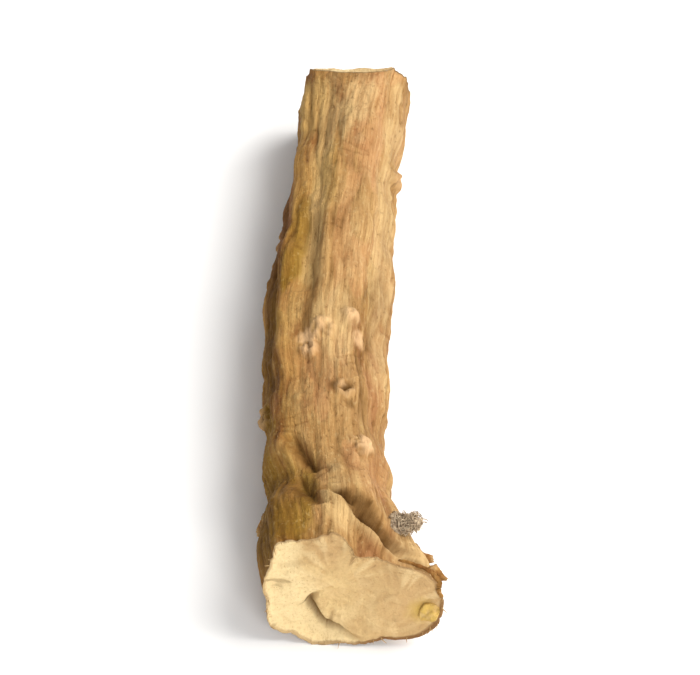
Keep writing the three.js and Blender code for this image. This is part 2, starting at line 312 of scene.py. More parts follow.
def through(stations, name, at):
    """A smooth curve through one named value of a table of stations."""
    knots = np.array(stations["at"])
    values = np.array(stations[name])
    count = np.arange(len(knots))
    before = np.maximum(count - 1, 0)
    after = np.minimum(count + 1, count[-1])
    slopes = (values[after] - values[before]) / (knots[after] - knots[before])
    i = np.searchsorted(knots[1:-1], at, side="left")
    span = knots[i + 1] - knots[i]
    t = np.clip((at - knots[i]) / span, 0, 1)
    early = (1 + 2 * t) * (1 - t) ** 2 * values[i] + t * (1 - t) ** 2 * span * slopes[i]
    late = t * t * (3 - 2 * t) * values[i + 1] + t * t * (t - 1) * span * slopes[i + 1]
    return early + late


def side_root_radius(away, radius, angle):
    """Where a ray from the root's axis leaves the side root, or zero if it misses."""
    toward = away * np.cos(angle - SIDE_ROOT_TILT)
    inside = toward**2 - away**2 + radius**2
    return np.where(inside > 0, np.maximum(toward + np.sqrt(np.maximum(inside, 0)), 0), 0)


def web_radius(stem, away, radius, angle):
    """The web of wood under the fork, straight from the stem's underside to the side root's."""
    drop = stem - radius
    forked = away > np.abs(drop)
    reach = np.where(forked, away, 1)
    off = turn(SIDE_ROOT_TILT - np.arccos(np.clip(drop / reach, -1, 1)), angle)
    last = np.arctan2(np.sqrt(np.maximum(reach**2 - drop**2, 0)), stem)
    return np.where(forked & (off > 0) & (off < last), stem / np.cos(off), 0)


def ribs(y, angle):
    """Long shallow ribs that wander round the root."""
    drift = 0.35 * np.sin(0.21 * y + 0.4) + 0.02 * y
    broad = 0.11 * np.sin(2 * angle + 0.9 + 0.12 * y)
    middle = 0.085 * np.sin(5 * angle + 1.3 + drift) * (1 + 0.4 * np.sin(0.5 * y + angle))
    narrow = 0.065 * np.sin(9 * angle - 0.6 - 1.6 * drift) * (1 + 0.5 * np.sin(0.37 * y + 2))
    lumps = 0.06 * np.sin(1.3 * y + 2 * angle) + 0.045 * np.sin(2.3 * y - 3 * angle + 1)
    return broad + middle + narrow + lumps


def creases(y, angle):
    """Depth of the creases, then the relief of their lips and cores, and their painted shade."""
    cut = 0
    edges = 0
    dark = 0
    wave = 0.35 * bark_noise(y, angle, 0.8, 0.8, 97)
    for start, end, middle_angle, lean, width, depth, lip, shade in CREASES:
        middle = (start + end) / 2
        half = (end - start) / 2
        along = np.sqrt(np.maximum(0, 1 - ((y - middle) / half) ** 2))
        off = turn(middle_angle + lean * (y - middle), angle)
        cut = cut + depth * along * bell(off / width)
        crooked = off / width + wave
        edges = edges + lip * along * bell((crooked - 1.7) / 0.8)
        edges = edges - 0.12 * (lip > 0) * along * bell(crooked / 0.3)
        # Painted shade inside the crease, beside its bottom
        dark = dark + shade * along * bell((crooked - 0.6) / 1.1)
    return cut, edges, dark


def scars(y, angle, radius):
    """Height of the scars of rootlets as the part has them."""
    height = 0
    for along, middle, size, rise, pit, _ in SCARS:
        away = np.hypot(y - along, radius * turn(middle, angle)) / size
        height = height + rise * (bell(away * away) - pit * bell(away / 0.45))
    return height


def scar_wear(y, angle):
    """How pale the scars are, how dark their pits are, and how ragged they stand."""
    pale = 0
    dark = 0
    ragged = 0
    torn = bark_noise(y, angle, 0.4, 0.5, 71)
    fine = bark_noise(y, angle, 0.2, 0.22, 73)
    for along, middle, size, rise, pit, paleness in SCARS:
        away = np.hypot(0.8 * (y - along), SHAFT_RADIUS * turn(middle, angle)) / size
        away = away + 0.4 * torn + 0.15 * fine
        broken = smoothstep(torn + 0.7 * fine, -0.6, 0.3)
        pale = pale + paleness * smoothstep(away, 1.3, 0.5) * broken
        dark = dark + np.minimum(0.35 + 0.6 * pit, 1) * bell(away / (0.15 + 0.2 * pit))
        ragged = ragged + rise * bell(away * away) * (1.2 * torn + 0.7 * fine)
    return np.clip(pale, 0, 1), np.clip(dark, 0, 1), ragged


def bulges(y, angle):
    """Height of the swellings of the knot."""
    height = 0
    for along, middle, length, width, rise in BULGES:
        height = height + rise * bell((y - along) / length) * bell(turn(middle, angle) / width)
    return height


def warts(y, angle):
    """Height of the small warts."""
    height = 0
    for along, middle, size, rise in WARTS:
        away = np.hypot(0.7 * (y - along), SHAFT_RADIUS * turn(middle, angle)) / size
        height = height + rise * bell(away * away)
    return height


def patches(table, y, angle):
    """How much of a colour the listed patches leave at each point, with ragged edges."""
    total = 0
    edge = 0.35 * bark_noise(y, angle, 0.5, 1.6, 83) + 0.2 * bark_noise(y, angle, 0.2, 0.9, 89)
    for along, middle, half, width, strength in table:
        away = np.hypot((y - along) / half, turn(middle, angle) / width)
        total = total + strength * smoothstep(away + edge, 1.3, 0.5)
    return np.clip(total, 0, 1)


def knot_rings(y, angle):
    """The knot's rings: a collar by the cut and the narrow waist behind it."""
    collar = 0.14 * bell((y - 2.5) / 0.9) * (1 + 0.6 * np.cos(angle - 1.2))
    waist = 0.18 * bell((y - 4.6) / 0.6) * (0.7 + 0.3 * np.cos(angle - 2.3))
    second = 0.08 * bell((y - 6.0) / 0.7) * (1 + 0.6 * np.sin(2 * angle + 2))
    return collar - waist + second


def bark_form(at, angle):
    """Radius of the bark as the part has it."""
    y = at * LENGTH
    stem = SHAFT_RADIUS * through(STATIONS, "swell", at)
    away = SIDE_ROOT_REACH * through(SIDE_ROOT, "reach", at)
    radius = SIDE_ROOT_RADIUS * through(SIDE_ROOT, "size", at)
    side_root = side_root_radius(away, radius, angle)
    fork = (stem + side_root + np.hypot(stem - side_root, JOIN_ROUNDING)) / 2
    plain = fork + WEB_FILL * np.maximum(0, web_radius(stem, away, radius, angle) - fork)
    raised = ribs(y, angle) + knot_rings(y, angle) + bulges(y, angle) + scars(y, angle, plain)
    return plain + raised - creases(y, angle)[0]


def valleys(value, width):
    """Sharp valleys along the zero lines of a noise, with rounded ridges between them."""
    return 1 - np.minimum(np.abs(value) / width, 1) ** 0.6


def furrow_valleys(name, y, angle):
    """The valleys of one kind of furrow, from 0 on the ridges to 1 at the bottom."""
    kind = FURROWS[name]
    return valleys(bark_noise(y, angle, kind["across"], kind["along"], kind["seed"]), FURROW_WIDTH)


def bark_detail(at, angle):
    """Fine relief of the dried bark, and the masks of its furrows with the painted shade of creases
    and dark patches, its rubbed ridges and its flakes.
    """
    y = at * LENGTH
    wander = angle + 0.16 * bark_noise(y, angle, 2.2, 5.0, 3)
    strength = np.clip(0.75 + 0.6 * bark_noise(y, angle, 2.2, 3.5, 31), 0.15, 1.4)
    furrows = {name: furrow_valleys(name, y, wander) for name in FURROWS}
    lines = strength * sum(FURROWS[name]["depth"] * valley for name, valley in furrows.items())
    furrow = strength * sum(FURROWS[name]["shade"] * valley**2 for name, valley in furrows.items())
    lumps = 0.05 * bark_noise(y, angle, 1.5, 2.2, 41) + 0.03 * bark_noise(y, angle, 0.6, 0.9, 47)
    grit = bark_noise(y, angle, 0.2, 0.25, 49)
    flake = smoothstep(bark_noise(y, wander, 0.8, 3.0, 67), 0.2, 0.25)
    bent = y + 0.5 * bark_noise(y, angle, 1.0, 8.0, 53)
    rounds = valleys(bark_noise(bent, angle, 3.0, 0.8, 59), 0.12)
    rounds = rounds * smoothstep(bark_noise(y, angle, 0.9, 1.4, 61), 0.22, 0.5)
    edges, dark = creases(y, angle)[1:]
    pits, ragged = scar_wear(y, angle)[1:]
    bumps = warts(y, angle)
    raised = lumps + GRIT_HEIGHT * grit
    relief = raised + edges + bumps + ragged + 0.045 - lines - 0.035 * flake - 0.05 * rounds
    streaked = 0.86 + 0.3 * grit - 0.25 * furrows["fine"]
    # The lighter patches, partly painted highlight, halve the furrows' darkness
    furrow = furrow * (1 - 0.5 * patches(LIGHT_PATCHES, y, angle))
    # Painted shade: the creases' darkness, capped, and the dark patches go into the furrow mask
    furrow = furrow + np.minimum(dark, DARKEST_CREASE) * streaked
    furrow = furrow + 0.4 * rounds + 0.9 * pits + patches(DARK_PATCHES, y, angle)
    proud = 6 * (raised + 0.6 * bumps) + 5 * edges + 0.3 - furrow
    return relief, np.clip(furrow, 0, 1), np.clip(proud, 0, 1), flake


def front_relief(share, angle, radius):
    """How far the pale wood of the knotted end stands behind its cutting plane."""
    swing = turn(SPLIT["middle"], angle)
    outside = share - SPLIT["share"] - SPLIT["growth"] * swing
    split = SPLIT["depth"] * bell(outside / SPLIT["width"]) * bell((swing / SPLIT["spread"]) ** 2)
    crescent = 0.25 * bell(swing / 1.1) * smoothstep(outside, -0.04, 0.1)
    steps = 0.08 * np.sin(1.9 * share * radius * np.cos(angle + 0.6) + 0.5)
    dish = 0.12 * (1 - share * share)
    return (split + crescent + steps + dish) * smoothstep(1 - share, 0, 0.12)


def far_relief(share, angle):
    """How far the far cut stands behind its plane."""
    dish = 0.25 * (1 - share * share) + 0.07 * np.sin(3 * angle + 4 * share)
    return dish * smoothstep(1 - share, 0, 0.15)


def flap_reach(at, share, angle):
    """How far the flap of bark hangs over the knotted end's cut."""
    outside = smoothstep(share, 0.8, 1) * np.maximum(0, 1 - at / FLAP["root"])
    return FLAP["reach"] * outside * bell(turn(FLAP["angle"], angle) / FLAP["width"])


def rim_wear(angle, seed):
    """How far the edge of a cut is broken back."""
    wide = noise(1.6 * np.cos(angle), 1.6 * np.sin(angle), seed)
    fine = noise(7 * np.cos(angle), 7 * np.sin(angle), seed + 5)
    return 0.1 * wide + 0.06 * fine


def form(at, share, angle, radius):
    """Points of the part's form for a share of the length, a share of the radius and an angle."""
    middle_up = SHAFT_RADIUS * through(STATIONS, "swell", at) + through(STATIONS, "gap", at)
    across = share * radius * np.cos(angle)
    up = share * radius * np.sin(angle)
    front = np.maximum(0, 1 - at / FRONT_SLANT["reach"]) ** 2
    far = np.maximum(0, 1 - (1 - at) / FAR_SLANT["reach"]) ** 2
    y = at * LENGTH
    y = y + front * (FRONT_SLANT["across"] * across + FRONT_SLANT["up"] * up)
    y = y + far * (FAR_SLANT["across"] * across + FAR_SLANT["up"] * up)
    y = y - flap_reach(at, share, angle)
    y = y + np.where(at == 0, front_relief(share, angle, radius), 0)
    y = y - np.where(at == 1, far_relief(share, angle), 0)
    return np.stack([through(STATIONS, "side", at) + across, y, middle_up + up], axis=-1)


def chipped(points, at):
    """Draws the far end back to the plane that the chip left."""
    rim_angle = np.array(CHIP["angle"])
    rim = form(np.array(1.0), 1, rim_angle, bark_form(np.array(1.0), rim_angle))
    run, rise = np.cos(CHIP["slope"]), np.sin(CHIP["slope"])
    plane_y = rim[1] - (CHIP["depth"] + rise * (points[..., 2] - rim[2])) / run
    near_end = np.clip(1 - (1 - at) / CHIP["reach"], 0, 1)
    end_y = points[..., 1] + (1 - at) * LENGTH
    points[..., 1] -= near_end * np.maximum(0, end_y - plane_y)
    return points


def axis_start():
    """Where the root's own axis starts in the frame, in millimetres, read off the CAD solid."""
    angles = np.linspace(0, 2 * np.pi, RIM_SAMPLES, endpoint=False)
    at_end = np.ones(RIM_SAMPLES)
    far = form(at_end, 1, angles, bark_form(at_end, angles))
    cad = bpy.data.objects[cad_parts["root_piece"].name].data.vertices
    corners = np.array([v.co for v in cad]) / MM
    end = corners[corners[:, 1] > CAD_HIGH.y / MM - END_BAND, 0]
    x = (end.min() + end.max() - far[:, 0].min() - far[:, 0].max()) / 2
    return np.array([x, CAD_HIGH.y / MM - far[:, 1].max(), 0])


AXIS_START = axis_start()


def to_frame(points):
    """Millimetres from the start of the root's axis to metres in the frame, none under the floor."""
    placed = points + AXIS_START
    placed[..., 2] = np.maximum(placed[..., 2], 0)
    return placed * MM


def new_object(name, corners, faces, masks, material):
    """A smooth mesh object with one named float or vector attribute for each mask."""
    mesh = bpy.data.meshes.new(name)
    mesh.from_pydata(corners.tolist(), [], faces)
    mesh.update()
    mesh.shade_smooth()
    for label, values in masks.items():
        if values.ndim == 2:
            attribute = mesh.attributes.new(label, "FLOAT_VECTOR", "POINT")
            attribute.data.foreach_set("vector", values.astype(np.float32).ravel())
        else:
            attribute = mesh.attributes.new(label, "FLOAT", "POINT")
            attribute.data.foreach_set("value", values.astype(np.float32))
    mesh.materials.append(material)
    piece = bpy.data.objects.new(name, mesh)
    bpy.context.scene.collection.objects.link(piece)
    return piece


def ring_faces(rings, around, low_pole, high_pole):
    """Quads between rings of points, closed by triangles to a pole at each end."""
    faces = []
    for k in range(around):
        n = (k + 1) % around
        faces.append((low_pole, n, k))
        last = (rings - 1) * around
        faces.append((high_pole, last + k, last + n))
    for r in range(rings - 1):
        a = r * around
        b = a + around
        faces += [(a + k, a + (k + 1) % around, b + (k + 1) % around, b + k) for k in range(around)]
    return faces


def root_rings():
    """The rings of the mesh as shares of the length and of the radius."""
    front = np.linspace(0, 1, FRONT_RINGS + 1)[1:-1]
    front = front + RIM_CROWDING * front * (1 - front)
    even = np.linspace(0, 1, SIDE_RINGS + 1)
    side = even - RING_CROWDING * np.sin(np.pi * even) * (1 - even)
    far = np.linspace(1, 0, FAR_RINGS + 1)[1:-1]
    far = far + RIM_CROWDING * far * (1 - far)
    at = np.concatenate([np.zeros(len(front)), side, np.ones(len(far))])
    share = np.concatenate([front, np.ones(len(side)), far])
    return at, share


def wood_rays(x, z, seed):
    """Rays that run out from a middle of growth, none right at the middle."""
    away = np.hypot(x, z)
    heading = np.arctan2(z, x)
    wide = noise(3.5 * np.cos(heading), 3.5 * np.sin(heading), 0.4 * away + seed)
    narrow = noise(8 * np.cos(heading), 8 * np.sin(heading), 0.7 * away + seed + 4)
    return (0.5 * wide + narrow) * smoothstep(away, 0.3, 1.6)


def cut_wood(at, share, angle, radius):
    """Relief of the cut wood, towards its own inside, its grain, and the masks of its colours."""
    x = share * radius * np.cos(angle)
    z = share * radius * np.sin(angle)
    front = at == 0
    side_x = SIDE_ROOT_REACH * np.cos(SIDE_ROOT_TILT)
    side_z = SIDE_ROOT_REACH * np.sin(SIDE_ROOT_TILT)
    stem_away = np.hypot(x, z) / SHAFT_RADIUS
    side_away = np.hypot(x - side_x, z - side_z) / SIDE_ROOT_RADIUS
    sided = front * smoothstep(stem_away - side_away, -0.35, 0.35)
    rays = (1 - sided) * wood_rays(x - 0.2, z - 0.1, 2) + sided * wood_rays(x - side_x, z - side_z, 9)
    torn = noise(1.1 * x, 1.1 * z, 6 + at * 9) + 0.5 * noise(3.2 * x, 3.2 * z, 8 + at * 9)
    ring = (1 - sided) * stem_away + sided * side_away
    bands = noise(4.5 * ring + 0.4 * torn, 0.3 * x, 0.3 * z + 5 * at)
    knife = noise(0.35 * (x + 0.4 * z), 2.6 * (z - 0.4 * x), at * 9)
    fine = noise(7 * x, 7 * z, 5 + at * 9)
    tear = smoothstep(noise(1.4 * x, 3.5 * z, 12 + at * 9), 0.15, 0.3)
    inner = smoothstep(1 - share, 0, 0.06)
    ray_height = np.where(front, 0.045, 0.025)
    relief = 0.05 * knife + 0.045 * torn + ray_height * rays + 0.03 * bands + 0.02 * fine + 0.05 * tear
    swing = turn(SPLIT["middle"], angle)
    outside = share - SPLIT["share"] - SPLIT["growth"] * swing
    split = front * bell(outside / (1.2 * SPLIT["width"])) * bell((swing / SPLIT["spread"]) ** 2)
    crescent = bell(swing / 1.3) * smoothstep(outside, -0.04, 0.1)
    left = smoothstep(x, 0.3, -2.0) * (0.55 + 0.45 * smoothstep(share, 0.35, 0.8))
    ochre = 0.85 * bell(np.hypot(x - 3.45, z + 0.8) / 0.65 + 0.3 * torn)
    cracks = smoothstep(rays, 0.45, 0.7) * smoothstep(ring, 0.3, 0.7)
    furrow = 1.05 * split + 0.6 * cracks + 0.25 * smoothstep(-knife, 0.3, 0.6)
    ray_tan = 0.4 * smoothstep(rays, 0.05, 0.5) * smoothstep(ring, 0.15, 0.6)
    top_tan = 1.2 * bell(np.hypot(x + 0.35, z - 2.1) / 0.9 + 0.2 * torn)
    front_pale = np.clip(crescent + left + 0.3 * torn - top_tan, 0, 1)
    front_tan = smoothstep(x + 0.7 * torn, 0.0, 2.8) + ray_tan + top_tan
    masks = {
        "furrow": np.clip(furrow, 0, 1),
        "pale": np.where(front, front_pale, smoothstep(torn, 0, 0.7)),
        "tan": np.where(front, front_tan, smoothstep(-torn, 0, 0.7)),
        "ochre": front * ochre,
        "proud": smoothstep(rays, -0.1, -0.6) + 0.5 * smoothstep(bands, 0.1, 0.5),
    }
    grain = np.stack([x, z, 7.0 * at + 0 * x], 1)
    return relief * inner, grain, masks


def root_piece(material):
    """The whole root: the part's form with the fine relief of its bark and its cut wood."""
    at, share = root_rings()
    angles = np.arange(AROUND) * 2 * np.pi / AROUND
    at = np.repeat(at, AROUND)
    share = np.repeat(share, AROUND)
    angle = np.tile(angles, len(at) // AROUND)
    at = np.append(at, [0.0, 1.0])
    share = np.append(share, [0.0, 0.0])
    angle = np.append(angle, [0.0, 0.0])

    relief, furrow, proud, flake = bark_detail(at, angle)
    radius = bark_form(at, angle) + relief
    points = form(at, share, angle, radius)
    edge = smoothstep(share, 0.8, 1)
    points[:, 1] += edge * np.maximum(0, 1 - at / RIM_WEAR_REACH) * rim_wear(angle, 2.0)
    points[:, 1] += edge * np.maximum(0, 1 - (1 - at) / RIM_WEAR_REACH) * rim_wear(angle, 9.0)
    points = chipped(points, at)

    wood_relief, wood_grain, wood = cut_wood(at, share, angle, radius)
    on_cut = (at == 0) | (at == 1)
    bark_edge = 0.05 * bell((share - 0.965) / 0.012) * (share < 1)
    points[:, 1] += np.where(at == 0, 1, -1) * on_cut * (bark_edge + wood_relief)

    y = at * LENGTH
    bark_grain = np.stack([SHAFT_RADIUS * np.cos(angle), SHAFT_RADIUS * np.sin(angle), y], 1)
    # Dusty rubbed ridges, and painted highlight from the lighter patches
    worn_and_highlit = np.clip(proud + patches(LIGHT_PATCHES, y, angle), 0, 1)
    blush = np.clip(patches(BLUSH_PATCHES, y, angle) + 0.6 * flake, 0, 1)
    edge = smoothstep(share + 0.02 * noise(3 * np.cos(angle), 3 * np.sin(angle), 7 * at), 0.955, 0.975)
    masks = {
        "cut": on_cut.astype(float),
        "furrow": np.where(on_cut, wood["furrow"], furrow),
        "pale": np.where(on_cut, wood["pale"], scar_wear(y, angle)[0]),
        "tan": np.where(on_cut, wood["tan"], blush),
        "ochre": np.where(on_cut, wood["ochre"], patches(OLIVE_PATCHES, y, angle)),
        "proud": np.where(on_cut, wood["proud"], worn_and_highlit),
        "rim": edge * (0.5 + 0.5 * bell(turn(-0.7, angle) / 0.8)),
        # Painted shade: the left side of the bark is darkened and reddened through this mask
        "red": bell(turn(SHADED_LEFT_SIDE["angle"], angle) / SHADED_LEFT_SIDE["width"]),
        "grain": np.where(on_cut[:, None], wood_grain, bark_grain),
    }
    rings = len(at) // AROUND
    faces = ring_faces(rings, AROUND, len(at) - 2, len(at) - 1)
    piece = new_object("root_piece_bark", to_frame(points), faces, masks, material)
    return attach(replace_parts(piece, "root_piece"), "root")


def shifted(faces, start):
    """Faces for corners that stand further on in a joined mesh."""
    return [tuple(start + corner for corner in face) for face in faces]


def strands(paths, radii, sides):
    """Closed tapering tubes along paths of points, joined in one mesh: corners and faces."""
    corners = []
    faces = []
    start = 0
    turns = np.arange(sides) * 2 * np.pi / sides
    for path, radius in zip(paths, radii):
        steps = np.gradient(path, axis=0)
        steps /= np.linalg.norm(steps, axis=1, keepdims=True)
        aside = np.cross(steps, [0.13, 0.31, 0.94])
        aside /= np.linalg.norm(aside, axis=1, keepdims=True)
        upright = np.cross(steps, aside)
        loop = np.cos(turns)[:, None] * aside[:, None] + np.sin(turns)[:, None] * upright[:, None]
        corners.append((path[:, None] + radius[:, None, None] * loop).reshape(-1, 3))
        corners.append(path[[0, -1]])
        count = len(path) * sides
        tube = ring_faces(len(path), sides, count, count + 1)
        faces += shifted(tube, start)
        start += count + 2
    return np.concatenate(corners), faces


def tube_axis(path, sides):
    """The middle of a tube of strands() at each of its corners."""
    return np.concatenate([np.repeat(path, sides, axis=0), path[[0, -1]]])


def unit(vector):
    """The vector at a length of one."""
    return vector / np.linalg.norm(vector)


def surface(along, angle, inset=0.0):
    """A point on the bark, or inset on the cut, in millimetres, and the direction out of it."""
    at = np.array([along / LENGTH])
    angle = np.array([angle])
    radius = bark_form(at, angle) + bark_detail(at, angle)[0]
    point = form(at, 1 - inset, angle, radius)[0]
    return point, np.array([np.cos(angle[0]), 0, np.sin(angle[0])])


def plain_masks(corners, **values):
    """The masks of a small piece, zero but for the given values."""
    masks = {name: np.broadcast_to(values.get(name, 0.0), len(corners)) for name in MASKS}
    masks["grain"] = corners
    return masks


def rootlet_foot(name):
    """Where a rootlet leaves the root, and its direction."""
    along, inset, angle, lean, _, _ = ROOTLETS[name]
    point, out = surface(along, angle, inset)
    return point, unit(out - np.array([0, lean, 0]))


def rootlet_stub(name, dark, yellow, red, blunt):
    """One broken rootlet, bent and tapering, with a flared foot and a torn or blunt tip."""
    length, foot = ROOTLETS[name][-2:]
    point, out = rootlet_foot(name)
    height = np.linspace(-0.5, length, STUB_RINGS)
    bend = 0.3 * np.maximum(0, height) ** 2
    path = point + height[:, None] * out + bend[:, None] * np.array([0.3, -0.5, 0.4])
    share = np.clip(height / length, 0, 1)
    slim = 1 - 0.6 * share**1.2
    domed = np.sqrt(np.maximum(1 - 0.97 * share**3, 0))
    flare = 1 + (0.8 - 0.45 * blunt) * bell((height + 0.08) / 0.22)
    buried = smoothstep(-height, 0.05, 0.5)
    radii = foot * (slim + blunt * (domed - slim)) * flare * (1 - 0.6 * buried)
    corners, faces = strands([path], [radii], STUB_SIDES)
    axis = tube_axis(path, STUB_SIDES)
    along_stub = np.append(np.repeat(share, STUB_SIDES), [0, 1])
    rough = noise(*(corners.T * 3.5)) + 0.6 * noise(*(corners.T * 8))
    ridges = noise(*((corners - axis).T * 14))
    swell = 1 + 0.26 * rough + 0.15 * (1 - blunt) * ridges
    corners = axis + (corners - axis) * swell[:, None]
    torn = (1 - blunt) * smoothstep(along_stub, 0.75, 1) * noise(*(corners.T * 6))
    corners = corners + (0.3 * length * torn)[:, None] * out
    off_bark = smoothstep(along_stub, 0.0, 0.5)
    values = {
        "cut": np.maximum(smoothstep(along_stub, 0.85, 0.95) * (1 - dark), yellow * (yellow > 0.9)),
        "furrow": np.clip((dark * (0.75 + 0.5 * rough) - 0.4 * ridges) * off_bark, 0, 1),
        "ochre": yellow * (0.7 + 0.45 * rough),
        "red": red * off_bark,
        "tan": 0.3 + 0.4 * off_bark,
        "proud": 0.4 * (1 - off_bark),
    }
    return corners, faces, plain_masks(corners, **values)


def rootlet_stubs(material):
    """All the broken rootlets, joined in one mesh."""
    corners, faces, masks = [], [], []
    start = 0
    for name, looks in ROOTLET_LOOKS.items():
        stub, stub_faces, stub_masks = rootlet_stub(name, **looks)
        corners.append(stub)
        faces += shifted(stub_faces, start)
        masks.append(stub_masks)
        start += len(stub)
    joined = {name: np.concatenate([one[name] for one in masks]) for name in masks[0]}
    piece = new_object("rootlet_stubs", to_frame(np.concatenate(corners)), faces, joined, material)
    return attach(piece, "root")


def fibre_path(point, heading, length, curl):
    """A curved path that starts just under the surface."""
    t = np.linspace(-0.2, 1, FIBRE_RINGS)[:, None]
    return point + t * length * heading + 0.5 * np.maximum(t, 0) ** 2 * length * curl


def cut_fibres(material):
    """Short torn fibres in tufts along the rim of the knotted cut."""
    paths, radii = [], []
    taper = (1.05 - np.linspace(0, 1, FIBRE_RINGS)) ** 0.5
    for middle, spread, count, longest in RIM_FIBRES:
        for _ in range(count):
            point, out = surface(abs(0.05 * random.normal()), middle + spread * random.normal())
            heading = unit(0.25 * out + np.array([0, -0.9, 0]) + 0.4 * random.normal(size=3))
            length = longest * random.uniform(0.35, 1.1)
            bend = 0.7 * random.normal(size=3)
            paths.append(fibre_path(point - 0.05 * out, heading, length, bend))
            radii.append(random.uniform(*FIBRE_RADII) * taper)
    corners, faces = strands(paths, radii, HAIR_SIDES)
    masks = plain_masks(corners, cut=0.6, furrow=0.2, pale=0.2, tan=0.5)
    piece = new_object("cut_fibres", to_frame(corners), faces, masks, material)
    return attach(piece, "root")


def bark_sliver(material):
    """A thin flat sliver of dark bark that has come loose along the rim of the knotted cut."""
    share = np.linspace(0, 1, SLIVER_RINGS)
    path = []
    for t in share:
        point, out = surface(0.02 + 0.3 * (1 - t), 0.5 * (1 - t))
        lift = 0.02 + 0.09 * np.sin(np.pi * t) ** 2
        path.append(point + lift * out - np.array([0, 0.05 + 0.08 * t, 0]))
    path = np.array(path)
    radii = 0.03 + 0.07 * np.sin(np.pi * (0.12 + 0.8 * share)) ** 0.7
    corners, faces = strands([path], [radii], SLIVER_SIDES)
    axis = tube_axis(path, SLIVER_SIDES)
    rough = noise(*(corners.T * 4)) + 0.6 * noise(*(corners.T * 11))
    flat = np.array([1.3, 0.5, 1.1])
    corners = axis + (corners - axis) * flat * (1 + 0.45 * rough)[:, None]
    masks = plain_masks(corners, furrow=np.clip(0.35 - 0.4 * rough, 0, 1), red=1.0, tan=0.3)
    piece = new_object("bark_sliver", to_frame(corners), faces, masks, material)
    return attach(piece, "root")


def grey_tuft(material):
    """The withered rootlet in the fork of the knot, covered in short curled hair roots."""
    stub, faces, _ = rootlet_stub("withered", dark=0.0, yellow=0.0, red=0.0, blunt=0.5)
    length, foot = ROOTLETS["withered"][-2:]
    point, out = rootlet_foot("withered")
    share = np.linspace(0, 1, HAIR_RINGS)
    paths, radii = [], []
    for _ in range(TUFT_HAIRS):
        aside = unit(np.cross(out, random.normal(size=3)))
        height = length * random.uniform(-0.1, 1.0)
        wide = foot * (1 + 0.5 * bell(height / 0.22)) * (0.85 - 0.25 * height / length)
        start = point + height * out + wide * aside
        across = unit(aside + 0.4 * out + 0.5 * random.normal(size=3))
        around = unit(np.cross(across, random.normal(size=3)))
        winding = random.uniform(2.0, 5.0) * share[:, None]
        loop = random.uniform(0.07, 0.16)
        drift = 0.12 * winding / 5.0 * out
        curled = np.sin(winding) * across + (1 - np.cos(winding)) * around
        paths.append(start + loop * curled + drift)
        radii.append(random.uniform(*HAIR_RADII) * (1.05 - share) ** 0.3)
    hairs, hair_faces = strands(paths, radii, HAIR_SIDES)
    faces = faces + shifted(hair_faces, len(stub))
    corners = np.concatenate([stub, hairs])
    piece = new_object("grey_tuft", to_frame(corners), faces, plain_masks(corners), material)
    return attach(piece, "root")


class Nodes:
    """Short calls that add nodes to a material and give back their output sockets."""

    def __init__(self, name):
        self.material = bpy.data.materials.new(name)
        self.material.use_nodes = True
        self.tree = self.material.node_tree
        self.tree.nodes.clear()

    def add(self, kind, inputs, output=0, **settings):
        """A new node with its settings, and each input linked to a socket or set to a value."""
        node = self.tree.nodes.new(kind)
        for key, value in settings.items():
            setattr(node, key, value)
        for key, value in inputs.items():
            if isinstance(value, bpy.types.NodeSocket):
                self.tree.links.new(value, node.inputs[key])
            else:
                node.inputs[key].default_value = value
        return node.outputs[output]

    def finished(self, shader):
        """The material, with this shader as its surface."""
        output = self.tree.nodes.new("ShaderNodeOutputMaterial")
        self.tree.links.new(shader, output.inputs["Surface"])
        return self.material

    def mask(self, name):
        """A named mask of the mesh."""
        return self.add("ShaderNodeAttribute", {}, output=2, attribute_name=name)

    def grain(self, across, along):
        """The grain attribute in grains of the given size in millimetres."""
        vector = self.add("ShaderNodeAttribute", {}, output=1, attribute_name="grain")
        scale = Vector((1 / across, 1 / across, 1 / along))
        return self.add("ShaderNodeVectorMath", {0: vector, 1: scale}, operation="MULTIPLY")

    def spots(self, vector, detail=3.0, rough=0.55, bend=0.0):
        """Noise with one grain to each unit of the vector."""
        inputs = {
            "Vector": vector,
            "Scale": 1.0,
            "Detail": detail,
            "Roughness": rough,
            "Distortion": bend,
        }
        return self.add("ShaderNodeTexNoise", inputs)

    def ramp(self, factor, stops):
        """Colours by a factor, from pairs of place and colour."""
        node = self.tree.nodes.new("ShaderNodeValToRGB")
        elements = node.color_ramp.elements
        while len(elements) < len(stops):
            elements.new(0.5)
        for element, (place, colour) in zip(elements, stops):
            element.position = place
            element.color = (*colour, 1)
        self.tree.links.new(factor, node.inputs[0])
        return node.outputs[0]

    def between(self, value, low, high, to_low=0.0, to_high=1.0):
        """The value between low and high, brought between two others and clamped there."""
        inputs = {
            "Value": value,
            "From Min": low,
            "From Max": high,
            "To Min": to_low,
            "To Max": to_high,
        }
        return self.add("ShaderNodeMapRange", inputs, clamp=True)

    def maths(self, operation, a, b):
        """Two values put together by the named operation."""
        return self.add("ShaderNodeMath", {0: a, 1: b}, operation=operation)

    def mix(self, factor, a, b, blend="MIX"):
        """Two colours mixed. Inputs 0, 6 and 7 of the node are its factor and its colours."""
        inputs = {0: factor, 6: a, 7: b}
        for key, value in inputs.items():
            if isinstance(value, tuple):
                inputs[key] = (*value, 1)
        return self.add("ShaderNodeMix", inputs, output=2, data_type="RGBA", blend_type=blend)


# Linear colours, then the depth of the bump in metres
BARK_RED = (0.25, 0.11, 0.036)
BARK_TAN = (0.40, 0.228, 0.083)
BARK_LIGHT = (0.53, 0.335, 0.13)
BARK_BLUSH = (0.455, 0.23, 0.095)
BARK_OLIVE = (0.25, 0.142, 0.018)
BARK_DUST = (0.59, 0.415, 0.195)
